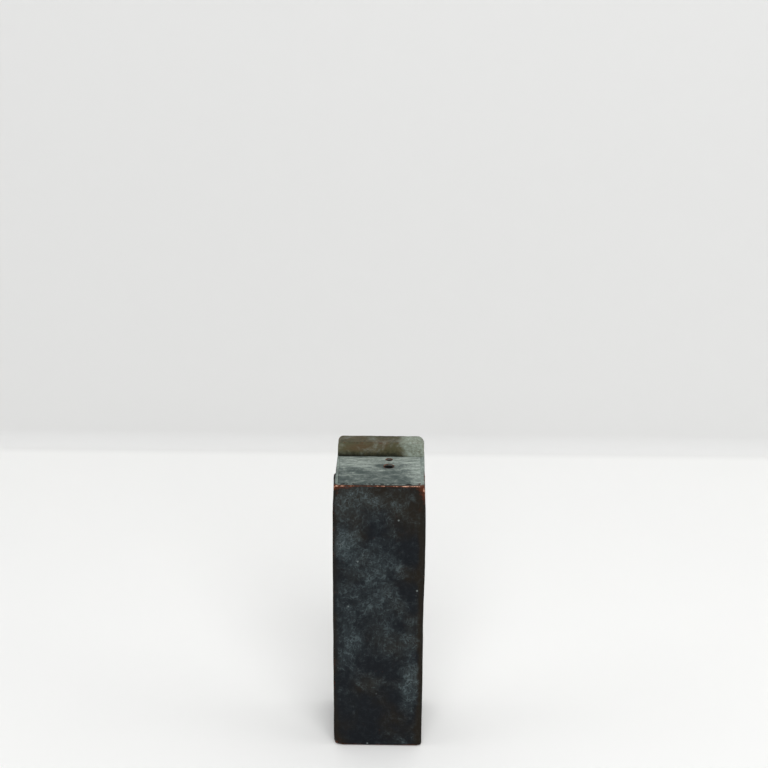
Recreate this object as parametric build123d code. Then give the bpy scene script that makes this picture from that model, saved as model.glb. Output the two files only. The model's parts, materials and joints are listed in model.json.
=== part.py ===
"""Small display plinth: a hollow square column of bronze plate for a statuette, ballasted with steel.

Origin at the middle of the footprint, on the table. X is across the front, Y runs from the front to the
back, Z is up. Millimetres.
"""

import os

from build123d import *

# ---- the column ------------------------------------------------------------------------------------------
SIDE = 60.0  # outside width and depth
LEDGE_HEIGHT = 195.0  # table to the top ledge
WALL = 3.0  # bronze plate
ARRIS_RADIUS = 1.2  # outer edges, dressed by hand
STANDOFF = 0.5  # the felt holds the walls this far off the table
DRESSED_WIDTH = 1.4  # the left upper edge is ground back this far, but for its first stretch
DRESSED_HEIGHT = 12.0
DRESSED_FROM_Y = -10.0
CAVITY = SIDE - 2 * WALL

# ---- the top ---------------------------------------------------------------------------------------------
TOP_THICKNESS = 5.0
BACKING_THICKNESS = 8.0
SEAM = 0.15  # open joint round each plate that is let in between the walls
LET_IN_SIDE = CAVITY - 2 * SEAM
LET_IN_RADIUS = 0.8
TOP_UNDERSIDE = LEDGE_HEIGHT - TOP_THICKNESS
BACKING_UNDERSIDE = TOP_UNDERSIDE - BACKING_THICKNESS

KERB_DEPTH = 12.5
KERB_HEIGHT = 10.5
KERB_LEFT_INSET = 1.4  # flush with the dressed part of the left edge
KERB_RIGHT_INSET = 0.5
KERB_SHOULDER_RADIUS = 3.5  # upper corners at its two ends
KERB_ARRIS_RADIUS = 1.0
KERB_WIDTH = SIDE - KERB_LEFT_INSET - KERB_RIGHT_INSET
KERB_CENTRE_X = (KERB_LEFT_INSET - KERB_RIGHT_INSET) / 2
KERB_CENTRE_Y = SIDE / 2 - KERB_DEPTH / 2

# ---- the exhibit's fixings: an M6 stud and a dowel that stops it turning ---------------------------------
STUD_BORE_RADIUS = 3.3
DOWEL_BORE_RADIUS = 2.1
EXHIBIT_X = 6.0
STUD_Y = 2.0
DOWEL_Y = 13.0

# ---- the bottom ------------------------------------------------------------------------------------------
FELT_THICKNESS = 2.0
FELT_SIDE = 53.0
FELT_CORNER_RADIUS = 1.0
BASE_THICKNESS = 5.0
BASE_TOP = FELT_THICKNESS + BASE_THICKNESS

# ---- the corner posts ------------------------------------------------------------------------------------
POST_SIDE = 8.0
POST_CENTRE = CAVITY / 2 - POST_SIDE / 2
POST_HEIGHT = BACKING_UNDERSIDE - BASE_TOP
POST_THREAD_DEPTH = 14.0
CORNERS = {
    "front_left": (-POST_CENTRE, -POST_CENTRE),
    "front_right": (POST_CENTRE, -POST_CENTRE),
    "back_left": (-POST_CENTRE, POST_CENTRE),
    "back_right": (POST_CENTRE, POST_CENTRE),
}

# ---- fasteners -------------------------------------------------------------------------------------------
THREAD_GAP = 0.02  # a screw's plain shank stands this far inside the wall of its tapped hole
M4_RADIUS = 2.0
M4_CLEARANCE_RADIUS = 2.25
M4_HEAD_RADIUS = 4.0  # countersunk head, 90 degrees
M4_LENGTH = 16.0
M4_SOCKET = 2.5  # hexagon key, across flats
M4_SOCKET_DEPTH = 1.5
CAP_HEAD_RADIUS = 3.5
CAP_HEAD_HEIGHT = 4.0
CAP_SOCKET = 3.0
CAP_SOCKET_DEPTH = 2.0
CAP_LENGTH = 20.0
KERB_SCREW_X = 12.0
KERB_SCREW_Y = 21.5  # ahead of the kerb's middle, to keep the washers off the back wall
KERB_THREAD_DEPTH = 6.6
KERB_WASHER_RADIUS = 4.5
KERB_WASHER_THICKNESS = 1.0
M8_RADIUS = 4.0
M8_CLEARANCE_RADIUS = 4.3
M8_HEAD_RADIUS = 8.0
M8_LENGTH = 90.0
M8_SOCKET = 5.0
M8_SOCKET_DEPTH = 3.0
M8_WASHER_RADIUS = 8.0
M8_WASHER_THICKNESS = 1.6
M8_NUT_ACROSS_FLATS = 13.0
M8_NUT_HEIGHT = 6.5
SCREW_TIP_CHAMFER = 0.6

# ---- the ballast -----------------------------------------------------------------------------------------
BALLAST_RADIUS = 25.0
BALLAST_DISC_HEIGHT = 25.0
BALLAST_CHAMFER = 1.0
BALLAST_PAD_THICKNESS = 1.0
BALLAST_DISCS = ("lower", "middle", "upper")
BALLAST_BOTTOM = BASE_TOP + BALLAST_PAD_THICKNESS
BALLAST_TOP = BALLAST_BOTTOM + len(BALLAST_DISCS) * BALLAST_DISC_HEIGHT

UP = (Align.CENTER, Align.CENTER, Align.MIN)
DOWN = (Align.CENTER, Align.CENTER, Align.MAX)
OVERSHOOT = 1.0  # how far a cutting tool runs past the face it leaves by


def bar(side_x, side_y, height, x=0.0, y=0.0, z=0.0):
    """An upright box standing on z."""
    return Pos(x, y, z) * Box(side_x, side_y, height, align=UP)


def rod(radius, height, x=0.0, y=0.0, z=0.0):
    """An upright cylinder standing on z."""
    return Pos(x, y, z) * Cylinder(radius, height, align=UP)


def hexagon(across_flats, height, x=0.0, y=0.0, z=0.0):
    """An upright hexagonal prism standing on z."""
    outline = RegularPolygon(across_flats / 2, 6, major_radius=False)
    return Pos(x, y, z) * extrude(outline, height)


def rounded_slab(side, thickness, radius, z):
    """A square plate with rounded corners, lying on z."""
    return Pos(0, 0, z) * extrude(RectangleRounded(side, side, radius), thickness)


def countersunk_hole(hole_radius, head_radius, depth, x, y, face_z, head_up):
    """The cutting tool for a 90 degree countersunk hole that opens at face_z and runs depth into the plate."""
    cone_depth = head_radius - hole_radius
    if head_up:
        cone = Pos(x, y, face_z) * Cone(hole_radius, head_radius, cone_depth, align=DOWN)
        shaft = rod(hole_radius, depth + OVERSHOOT, x, y, face_z - depth - OVERSHOOT)
    else:
        cone = Pos(x, y, face_z) * Cone(head_radius, hole_radius, cone_depth, align=UP)
        shaft = rod(hole_radius, depth + OVERSHOOT, x, y, face_z)
    return cone + shaft


def countersunk_screw(radius, head_radius, length, socket, socket_depth):
    """A countersunk screw that points up, with its head's face at the origin."""
    shank_radius = radius - THREAD_GAP
    head = Cone(head_radius, shank_radius, head_radius - shank_radius, align=UP)
    shank = rod(shank_radius, length)
    shank = chamfer(shank.edges().group_by(Axis.Z)[-1], SCREW_TIP_CHAMFER)
    return head + shank - hexagon(socket, socket_depth)


def cap_screw():
    """The kerb's socket cap screw, pointing up, with the underside of its head at the origin."""
    shank = rod(M4_RADIUS - THREAD_GAP, CAP_LENGTH)
    shank = chamfer(shank.edges().group_by(Axis.Z)[-1], SCREW_TIP_CHAMFER)
    head = rod(CAP_HEAD_RADIUS, CAP_HEAD_HEIGHT, z=-CAP_HEAD_HEIGHT)
    return shank + head - hexagon(CAP_SOCKET, CAP_SOCKET_DEPTH, z=-CAP_HEAD_HEIGHT)


def washer(outer_radius, inner_radius, thickness, x, y, z):
    """A flat washer lying on z."""
    return rod(outer_radius, thickness, x, y, z) - rod(inner_radius, thickness, x, y, z)


def left_edge_dressing():
    """The wedge that is ground off the left upper edge, from behind the front corner to the back."""
    run_out = DRESSED_WIDTH * OVERSHOOT / DRESSED_HEIGHT
    left, top = -SIDE / 2, LEDGE_HEIGHT + OVERSHOOT
    outline = Polygon(
        (left, LEDGE_HEIGHT - DRESSED_HEIGHT),
        (left + DRESSED_WIDTH + run_out, top),
        (left - OVERSHOOT, top),
        (left - OVERSHOOT, LEDGE_HEIGHT - DRESSED_HEIGHT),
        align=None,
    )
    back = SIDE / 2 + OVERSHOOT
    return Pos(0, back, 0) * Rot(90, 0, 0) * extrude(outline, back - DRESSED_FROM_Y)


def wall_plates():
    """The four mitred walls: a rounded tube, parted on its two diagonals."""
    height = LEDGE_HEIGHT - STANDOFF
    outside = Pos(0, 0, STANDOFF) * extrude(RectangleRounded(SIDE, SIDE, ARRIS_RADIUS), height)
    outside = fillet(outside.edges().group_by(Axis.Z)[-1], ARRIS_RADIUS * 0.8)
    tube = outside - bar(CAVITY, CAVITY, height, z=STANDOFF) - left_edge_dressing()
    reach = SIDE
    sector = Polygon((0, 0), (-reach, -reach), (reach, -reach), align=None)
    quarter = Pos(0, 0, STANDOFF) * extrude(sector, height)
    turns = {"front": 0, "right": 90, "back": 180, "left": 270}
    return {f"{name}_plate": tube & (Rot(0, 0, turn) * quarter) for name, turn in turns.items()}


def exhibit_bores():
    """The cutting tools for the stud's and the dowel's bores, through the ledge and the plate behind it."""
    depth = TOP_THICKNESS + BACKING_THICKNESS + 2 * OVERSHOOT
    z = BACKING_UNDERSIDE - OVERSHOOT
    stud = rod(STUD_BORE_RADIUS, depth, EXHIBIT_X, STUD_Y, z)
    dowel = rod(DOWEL_BORE_RADIUS, depth, EXHIBIT_X, DOWEL_Y, z)
    return stud + dowel


def kerb_screw_places():
    """Where the two kerb screws stand."""
    return [(side * KERB_SCREW_X, KERB_SCREW_Y) for side in (-1, 1)]


def kerb_screw_holes():
    """The cutting tools for the clearance holes of the kerb screws."""
    depth = TOP_THICKNESS + BACKING_THICKNESS + 2 * OVERSHOOT
    z = BACKING_UNDERSIDE - OVERSHOOT
    return [rod(M4_CLEARANCE_RADIUS, depth, x, y, z) for x, y in kerb_screw_places()]


def top_plate():
    """The ledge that the exhibit stands on."""
    plate = rounded_slab(LET_IN_SIDE, TOP_THICKNESS, LET_IN_RADIUS, TOP_UNDERSIDE)
    plate -= exhibit_bores()
    for hole in kerb_screw_holes():
        plate -= hole
    return plate


def backing_plate():
    """The steel plate under the ledge, screwed down on the posts."""
    plate = rounded_slab(LET_IN_SIDE, BACKING_THICKNESS, LET_IN_RADIUS, BACKING_UNDERSIDE)
    plate -= exhibit_bores()
    for hole in kerb_screw_holes():
        plate -= hole
    for x, y in CORNERS.values():
        plate -= countersunk_hole(
            M4_RADIUS, M4_HEAD_RADIUS, BACKING_THICKNESS, x, y, TOP_UNDERSIDE, head_up=True
        )
    return plate


def rear_kerb():
    """The bar across the rear of the ledge, tapped from below."""
    kerb = bar(KERB_WIDTH, KERB_DEPTH, KERB_HEIGHT, KERB_CENTRE_X, KERB_CENTRE_Y, LEDGE_HEIGHT)
    upper = kerb.edges().group_by(Axis.Z)[-1]
    kerb = fillet(upper.filter_by(Axis.Y), KERB_SHOULDER_RADIUS)
    top_face = kerb.faces().sort_by(Axis.Z)[-1]
    kerb = fillet(top_face.edges().filter_by(Axis.X), KERB_ARRIS_RADIUS)
    for x, y in kerb_screw_places():
        kerb -= rod(M4_RADIUS, KERB_THREAD_DEPTH, x, y, LEDGE_HEIGHT)
    return kerb


def corner_post(x, y):
    """A post, tapped at both ends."""
    post = bar(POST_SIDE, POST_SIDE, POST_HEIGHT, x, y, BASE_TOP)
    post -= rod(M4_RADIUS, POST_THREAD_DEPTH, x, y, BASE_TOP)
    post -= rod(M4_RADIUS, POST_THREAD_DEPTH, x, y, BACKING_UNDERSIDE - POST_THREAD_DEPTH)
    return post


def base_plate():
    """The steel plate that closes the bottom and carries the ballast."""
    plate = rounded_slab(LET_IN_SIDE, BASE_THICKNESS, LET_IN_RADIUS, FELT_THICKNESS)
    for x, y in CORNERS.values():
        plate -= countersunk_hole(
            M4_RADIUS, M4_HEAD_RADIUS, BASE_THICKNESS, x, y, FELT_THICKNESS, head_up=False
        )
    plate -= countersunk_hole(
        M8_RADIUS, M8_HEAD_RADIUS, BASE_THICKNESS, 0, 0, FELT_THICKNESS, head_up=False
    )
    return plate


def plate_screw():
    """The M4 countersunk screw that holds both inner plates to the posts."""
    return countersunk_screw(M4_RADIUS, M4_HEAD_RADIUS, M4_LENGTH, M4_SOCKET, M4_SOCKET_DEPTH)


def ballast_disc(z):
    """One weight of turned steel bar."""
    disc = rod(BALLAST_RADIUS, BALLAST_DISC_HEIGHT)
    disc = chamfer(disc.edges().filter_by(GeomType.CIRCLE), BALLAST_CHAMFER)
    disc -= rod(M8_CLEARANCE_RADIUS, BALLAST_DISC_HEIGHT)
    return Pos(0, 0, z) * disc


def ballast_nut(z):
    """The nut on the ballast's bolt."""
    nut = hexagon(M8_NUT_ACROSS_FLATS, M8_NUT_HEIGHT, z=z)
    return nut - rod(M8_RADIUS, M8_NUT_HEIGHT, z=z)


def felt_pad():
    """The felt glued under the base plate."""
    return rounded_slab(FELT_SIDE, FELT_THICKNESS, FELT_CORNER_RADIUS, 0)


def plinth():
    """Every node of the plinth, as name to shape."""
    parts = wall_plates()
    parts["top_plate"] = top_plate()
    parts["rear_kerb"] = rear_kerb()
    for corner, (x, y) in CORNERS.items():
        parts[f"post_{corner}"] = corner_post(x, y)

    parts["backing_plate"] = backing_plate()
    parts["backing_screws"] = [
        Pos(x, y, TOP_UNDERSIDE) * Rot(180, 0, 0) * plate_screw() for x, y in CORNERS.values()
    ]
    washer_z = BACKING_UNDERSIDE - KERB_WASHER_THICKNESS
    parts["kerb_washers"] = [
        washer(KERB_WASHER_RADIUS, M4_CLEARANCE_RADIUS, KERB_WASHER_THICKNESS, x, y, washer_z)
        for x, y in kerb_screw_places()
    ]
    parts["kerb_screws"] = [Pos(x, y, washer_z) * cap_screw() for x, y in kerb_screw_places()]

    parts["base_plate"] = base_plate()
    parts["base_screws"] = [Pos(x, y, FELT_THICKNESS) * plate_screw() for x, y in CORNERS.values()]
    parts["ballast_pad"] = washer(
        BALLAST_RADIUS, M8_CLEARANCE_RADIUS, BALLAST_PAD_THICKNESS, 0, 0, BASE_TOP
    )
    for level, name in enumerate(BALLAST_DISCS):
        parts[f"ballast_disc_{name}"] = ballast_disc(BALLAST_BOTTOM + level * BALLAST_DISC_HEIGHT)
    parts["ballast_bolt"] = Pos(0, 0, FELT_THICKNESS) * countersunk_screw(
        M8_RADIUS, M8_HEAD_RADIUS, M8_LENGTH, M8_SOCKET, M8_SOCKET_DEPTH
    )
    parts["ballast_washer"] = washer(
        M8_WASHER_RADIUS, M8_CLEARANCE_RADIUS, M8_WASHER_THICKNESS, 0, 0, BALLAST_TOP
    )
    parts["ballast_nut"] = ballast_nut(BALLAST_TOP + M8_WASHER_THICKNESS)
    parts["felt_pad"] = felt_pad()
    return parts


os.makedirs("parts", exist_ok=True)
for node, shape in plinth().items():
    if isinstance(shape, list):
        shape = Compound(children=shape)
    export_step(shape, f"parts/{node}.step")
    print(node, "written")
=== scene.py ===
"""A small display plinth in patinated bronze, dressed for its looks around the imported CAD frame.

The plinth is a tall square column of four mitred bronze plates, a ledge let in between them, a bar across
the rear of the ledge and a felt pad underneath. A hand-dressed bronze has no true plane and no even
colour, so every bronze piece is rebuilt here as a dense closed mesh with its slow bows, its worn arrises
and its knocks, and wears a patina worked out from how such a finish is made. What is inside the column
keeps its CAD mesh and gets the finish it was bought or machined with.
"""

import json
import logging
import math
from dataclasses import dataclass, field
from enum import Enum
from typing import ClassVar

import bmesh
import bpy
import numpy as np
from mathutils import Matrix, Vector, noise
from mathutils.geometry import delaunay_2d_cdt


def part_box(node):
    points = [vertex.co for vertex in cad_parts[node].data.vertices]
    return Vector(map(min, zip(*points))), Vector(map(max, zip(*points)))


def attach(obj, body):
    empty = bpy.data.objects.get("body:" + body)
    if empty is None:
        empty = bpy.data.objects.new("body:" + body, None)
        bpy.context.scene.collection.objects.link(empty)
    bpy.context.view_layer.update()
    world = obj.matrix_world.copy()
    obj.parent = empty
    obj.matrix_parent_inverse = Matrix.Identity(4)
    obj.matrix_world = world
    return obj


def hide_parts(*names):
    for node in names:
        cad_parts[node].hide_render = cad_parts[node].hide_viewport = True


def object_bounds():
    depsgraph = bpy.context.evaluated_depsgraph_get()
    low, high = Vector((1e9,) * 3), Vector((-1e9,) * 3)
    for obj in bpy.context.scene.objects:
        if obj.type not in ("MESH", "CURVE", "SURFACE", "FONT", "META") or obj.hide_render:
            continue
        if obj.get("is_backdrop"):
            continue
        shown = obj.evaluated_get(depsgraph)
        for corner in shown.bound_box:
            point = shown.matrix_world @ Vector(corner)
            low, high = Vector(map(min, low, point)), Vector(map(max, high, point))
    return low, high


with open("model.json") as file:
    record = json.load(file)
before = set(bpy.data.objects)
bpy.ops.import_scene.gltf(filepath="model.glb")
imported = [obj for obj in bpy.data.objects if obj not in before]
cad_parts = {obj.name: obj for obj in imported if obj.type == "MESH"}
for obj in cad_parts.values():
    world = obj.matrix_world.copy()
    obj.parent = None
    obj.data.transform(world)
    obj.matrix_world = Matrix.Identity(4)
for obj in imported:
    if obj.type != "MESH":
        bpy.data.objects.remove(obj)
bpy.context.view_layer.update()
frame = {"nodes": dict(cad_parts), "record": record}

LOG = logging.getLogger("plinth")
MM = 0.001
BODY = "root"
Socket = bpy.types.NodeSocket | bpy.types.Node | float | str | tuple


# ---- small tools -----------------------------------------------------------------------------------------


def linear(hex_colour: str) -> tuple[float, float, float, float]:
    """Turns an sRGB hex colour to the linear colour that shaders work in.

    Args:
        hex_colour: The colour as #rrggbb.

    Returns:
        Linear red, green, blue and an alpha of one.
    """
    parts = [int(hex_colour[i : i + 2], 16) / 255 for i in (1, 3, 5)]
    red, green, blue = (p / 12.92 if p <= 0.04045 else ((p + 0.055) / 1.055) ** 2.4 for p in parts)
    return red, green, blue, 1.0


def per_metre(size_mm: float) -> float:
    """How many of a pattern's features fit in a metre, which is the scale that draws them at that size."""
    return 1 / (size_mm * MM)


def feed(material: bpy.types.Material, node: bpy.types.Node, links: dict[str | int, Socket]) -> None:
    """Links or sets some of a node's inputs.

    Args:
        material: The material that the node belongs to.
        node: The node.
        links: Input socket to what feeds it: a node, one of its outputs, an sRGB hex colour or a plain value.
    """
    for socket, source in links.items():
        if isinstance(source, bpy.types.Node):
            source = source.outputs[0]
        if isinstance(source, bpy.types.NodeSocket):
            material.node_tree.links.new(source, node.inputs[socket])
        else:
            node.inputs[socket].default_value = linear(source) if isinstance(source, str) else source


def add_node(
    material: bpy.types.Material, kind: str, links: dict[str | int, Socket] | None = None, **settings: object
) -> bpy.types.Node:
    """Adds one shader node.

    Args:
        material: The material that the node belongs to.
        kind: The node's type, without its ShaderNode prefix.
        links: Its inputs, as feed takes them.
        **settings: The node's own properties.

    Returns:
        The new node.
    """
    node = material.node_tree.nodes.new(f"ShaderNode{kind}")
    for name, value in settings.items():
        setattr(node, name, value)
    feed(material, node, links or {})
    return node


def smooth_fall(distance: np.ndarray, reach: float | np.ndarray) -> np.ndarray:
    """A bell that is one at no distance and fades smoothly to nothing.

    Args:
        distance: Distances in metres.
        reach: Where the bell has fallen to about a third, in metres.

    Returns:
        A value from nought to one for each distance.
    """
    return np.exp(-((distance / reach) ** 2))


def smooth_step(value: np.ndarray, low: float, high: float) -> np.ndarray:
    """A smooth climb from nought at low to one at high.

    Args:
        value: The values to climb over.
        low: Where the climb starts.
        high: Where it ends.

    Returns:
        A value from nought to one for each value.
    """
    t = np.clip((value - low) / (high - low), 0, 1)
    return t * t * (3 - 2 * t)


def to_arris(first: np.ndarray, second: np.ndarray) -> np.ndarray:
    """Distance to the arris where two faces meet.

    Args:
        first: Distances inside the one face.
        second: Distances inside the other.

    Returns:
        A distance for each pair; outside a face its own part counts as nought.
    """
    return np.hypot(np.maximum(first, 0), np.maximum(second, 0))


def strongest(*marks: tuple[float | np.ndarray, np.ndarray, float | np.ndarray]) -> np.ndarray:
    """The strongest of several marks at each place.

    Args:
        *marks: For each mark: how strong it is at its middle, the distances from there and its reach.

    Returns:
        A strength for each place.
    """
    return np.maximum.reduce([share * smooth_fall(distance, reach) for share, distance, reach in marks])


@dataclass(frozen=True)
class Relief:
    """One layer of unevenness in a surface.

    Attributes:
        height: How far the surface stands off its true plane, at most, in metres.
        length: The size of one swelling, in metres.
        octaves: How many finer layers ride on the first.
        seed: Where in the noise it is cut from.
    """

    height: float
    length: float
    octaves: int = 1
    seed: float = 0.0

    def at(self, points: np.ndarray) -> np.ndarray:
        """How far the surface stands off at each point.

        Args:
            points: Places in metres, one row each.

        Returns:
            Heights in metres.
        """
        shifted = points / self.length + np.array((self.seed, 1.7 * self.seed, -0.6 * self.seed))
        return self.height * np.array([noise.fractal(Vector(p), 1.0, 2.0, self.octaves) for p in shifted])


@dataclass(frozen=True)
class Shift:
    """A place where the metal stands off its true form: knocked in by handling, or swollen in the making.

    Attributes:
        place: The middle of it, in metres.
        reach: How far from there the metal has moved, in metres.
        depth: How far the middle has moved, in metres.
        towards: The direction it moved in.
    """

    place: Vector
    reach: float
    depth: float
    towards: Vector

    def moved(self, points: np.ndarray) -> np.ndarray:
        """The points after the shift.

        Args:
            points: Places in metres, one row each.

        Returns:
            The moved places.
        """
        distance = np.linalg.norm(points - np.array(self.place), axis=1)
        share = np.clip(1 - (distance / self.reach) ** 2, 0, 1) ** 2
        return points + share[:, None] * self.depth * np.array(self.towards.normalized())


# ---- finishes --------------------------------------------------------------------------------------------


# A MapRange node with this setting climbs smoothly. Its inputs 0, 1 and 2 are the value and where the climb
# starts and ends; 3 and 4 are what it gives there, which are nought and one if they aren't set.
SMOOTH = {"interpolation_type": "SMOOTHSTEP"}


@dataclass(frozen=True)
class Finish:
    """What a piece is made of and how its surface was made.

    Attributes:
        title: The material's name.
    """

    title: str = "finish"
    made: ClassVar[dict[str, bpy.types.Material]] = {}

    def material(self) -> bpy.types.Material:
        """The finish's material, which is made once.

        Returns:
            The material, shared by every piece that wears it.
        """
        if self.title not in Finish.made:
            material = bpy.data.materials.new(self.title)
            material.use_nodes = True
            self.shade(material, material.node_tree.nodes["Principled BSDF"])
            Finish.made[self.title] = material
        return Finish.made[self.title]

    def shade(self, material: bpy.types.Material, surface: bpy.types.Node) -> None:
        """Builds the finish's nodes.

        Args:
            material: The new material.
            surface: Its surface shader.
        """
        raise NotImplementedError


class Brushing(Enum):
    """Which way the last brush, stone or wheel went over a bronze face, as the stroke's direction."""

    UP_AND_DOWN = (0.06, 0.04, 1.0)
    SIDE_TO_SIDE = (1.0, 0.05, 0.0)


@dataclass(frozen=True)
class PatinatedBronze(Finish):
    """Silicon bronze, torch-patinated with salts stippled on in thin coats, waxed, and rubbed at the arrises.

    Each coat dries in clouds, and inside a cloud the bristles leave curled tracks and a fine grain. Bronze
    rusts first to brown cuprite, so a worn arris goes from patina through brown to bare metal.

    Attributes:
        ground: The first coat, sRGB.
        ground_shift: What the first coat wanders to, sRGB.
        bloom: The pale salts on top, sRGB.
        speck: Grains of loose salt, sRGB.
        grime_and_shade: Wax and dirt left in joints, and the colour of painted shade at the kerb's foot and
            the left front arris, sRGB.
        crest: The first coat where another face's pale patina laps over, sRGB.
        crest_bloom: The salts there, sRGB.
        oxide: Brown cuprite under the patina, sRGB.
        metal: Bare bronze, sRGB.
        cloud_mm: Size of a cloud of salts.
        cloud_low: Noise level where a cloud starts: higher is sparser.
        cloud_high: Noise level where it is full.
        curl_mm: Size of a curled bristle track.
        curl_share: How strongly the tracks show.
        stroke_mm: Length of a brush stroke.
        bristle_mm: Width of one bristle's mark.
        brushing: Which way the strokes go.
        stroke_share: How strongly the strokes show.
        cross_lean: How far the second pass of the brush leans from the first, in degrees.
        grain_mm: Size of one stipple.
        speck_mm: Spacing of the cells that a loose speck may lie in.
        speck_share: How strongly the specks show.
        rag_mm: Size of the tongues in a rubbed edge.
        build_up_mm: How far the salts stand proud and the bristles cut in.
        roughness: Of waxed patina.
        chalk: How much rougher it is in a full cloud of salts.
        gloss: Specular level of waxed patina, under the default of one half, since the salts are porous.
    """

    title: str = "patinated_bronze"
    ground: str = "#0d1116"
    ground_shift: str = "#1b160f"
    bloom: str = "#4f5a5c"
    speck: str = "#98a3a1"
    grime_and_shade: str = "#0d0e0d"
    crest: str = "#5d6763"
    crest_bloom: str = "#98a39b"
    oxide: str = "#4c2513"
    metal: str = "#dfb097"
    cloud_mm: float = 12.0
    cloud_low: float = 0.42
    cloud_high: float = 0.90
    curl_mm: float = 7.5
    curl_share: float = 0.85
    stroke_mm: float = 26.0
    bristle_mm: float = 0.8
    brushing: Brushing = Brushing.UP_AND_DOWN
    stroke_share: float = 0.22
    cross_lean: float = 7.0
    grain_mm: float = 1.4
    speck_mm: float = 6.5
    speck_share: float = 0.45
    rag_mm: float = 2.6
    build_up_mm: float = 0.09
    roughness: float = 0.5
    chalk: float = 0.25
    gloss: float = 0.11

    def clouds(self, material: bpy.types.Material, place: Socket, pale: Socket) -> bpy.types.Node:
        """Clouds of pale salts, denser where the piece says that more were stippled on.

        Args:
            material: The material.
            place: The coordinates.
            pale: How much paler the piece is there.

        Returns:
            A mask that is one in a full cloud.
        """
        links = {"Vector": place, "Scale": per_metre(self.cloud_mm), "Detail": 8.0}
        cloud = add_node(material, "TexNoise", links | {"Roughness": 0.66, "Distortion": 0.6})
        fed = add_node(material, "Math", {0: pale, 1: 0.42, 2: cloud}, operation="MULTIPLY_ADD")
        return add_node(material, "MapRange", {0: fed, 1: self.cloud_low, 2: self.cloud_high}, **SMOOTH)

    def curls(self, material: bpy.types.Material, place: Socket, size_mm: float) -> bpy.types.Node:
        """The curled tracks of a stippling brush: the contour lines of a noise.

        Args:
            material: The material.
            place: The coordinates.
            size_mm: Size of one curl.

        Returns:
            A mask that is one on the tracks.
        """
        links = {"Vector": place, "Scale": per_metre(size_mm), "Detail": 1.0, "Distortion": 1.4}
        swirl = add_node(material, "TexNoise", links)
        away = add_node(material, "Math", {0: swirl, 1: 0.5}, operation="SUBTRACT")
        away = add_node(material, "Math", {0: away}, operation="ABSOLUTE")
        return add_node(material, "MapRange", {0: away, 1: 0.046, 2: 0.010}, **SMOOTH)

    def tracks(self, material: bpy.types.Material, place: Socket, hold: Socket) -> bpy.types.Node:
        """Curled tracks of two sizes, which fade where a slower noise says that the brush was lifted.

        Args:
            material: The material.
            place: The coordinates.
            hold: How well the surface there holds a mark.

        Returns:
            A mask of how strongly the tracks show.
        """
        wide, fine = (self.curls(material, place, size * self.curl_mm) for size in (1.0, 0.62))
        both = add_node(material, "Math", {0: wide, 1: fine}, operation="MAXIMUM")
        links = {"Vector": place, "Scale": per_metre(self.curl_mm / 2), "Detail": 2.0}
        lifting = add_node(material, "TexNoise", links)
        lifted = add_node(material, "MapRange", {0: lifting, 1: 0.40, 2: 0.58}, **SMOOTH)
        shown = add_node(material, "Math", {0: both, 1: lifted}, operation="MULTIPLY")
        held = add_node(material, "Math", {0: shown, 1: hold}, operation="MULTIPLY")
        return add_node(material, "Math", {0: held, 1: self.curl_share}, operation="MULTIPLY")

    def strokes(self, material: bpy.types.Material, place: Socket, lean: float) -> bpy.types.Node:
        """The marks of one pass of the long brush: noise drawn out along the stroke.

        Args:
            material: The material.
            place: The coordinates.
            lean: How far this pass leans from the finish's own direction, in degrees.

        Returns:
            A mask that is one on the strokes.
        """
        direction = Vector(self.brushing.value).normalized()
        turn = direction.rotation_difference(Vector((0, 0, 1))).to_matrix()
        turn = Matrix.Rotation(math.radians(lean), 3, Vector((1, 0.8, 0))) @ turn
        turned = add_node(material, "Mapping", {"Vector": place, "Rotation": tuple(turn.to_euler())})
        across, along = per_metre(self.bristle_mm), per_metre(self.stroke_mm)
        drawn = add_node(material, "Mapping", {"Vector": turned, "Scale": (across, across, along)})
        links = {"Vector": drawn, "Scale": 1.0, "Detail": 3.0, "Roughness": 0.55}
        hair = add_node(material, "TexNoise", links)
        return add_node(material, "MapRange", {0: hair, 1: 0.48, 2: 0.68}, **SMOOTH)

    def brushed(self, material: bpy.types.Material, place: Socket, hold: Socket) -> bpy.types.Node:
        """Two passes of the long brush, which hardly cross.

        Args:
            material: The material.
            place: The coordinates.
            hold: How well the surface there holds a mark.

        Returns:
            A mask of how strongly the strokes show.
        """
        first, second = (self.strokes(material, place, lean) for lean in (0.0, self.cross_lean))
        passes = add_node(material, "Math", {0: first, 1: second}, operation="MAXIMUM")
        held = add_node(material, "Math", {0: passes, 1: hold}, operation="MULTIPLY")
        return add_node(material, "Math", {0: held, 1: self.stroke_share}, operation="MULTIPLY")

    def specks(self, material: bpy.types.Material, place: Socket) -> bpy.types.Node:
        """Loose specks of salt, one in a few of the cells of a coarse Voronoi pattern.

        Args:
            material: The material.
            place: The coordinates.

        Returns:
            A mask of how strongly the specks show.
        """
        cells = add_node(material, "TexVoronoi", {"Vector": place, "Scale": per_metre(self.speck_mm)})
        dot = add_node(material, "MapRange", {0: cells.outputs["Distance"], 1: 0.15, 2: 0.02}, **SMOOTH)
        chosen = add_node(material, "SeparateColor", {0: cells.outputs["Color"]})
        few = add_node(material, "Math", {0: chosen, 1: 0.80}, operation="GREATER_THAN")
        some = add_node(material, "Math", {0: dot, 1: few}, operation="MULTIPLY")
        return add_node(material, "Math", {0: some, 1: self.speck_share}, operation="MULTIPLY")

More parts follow.
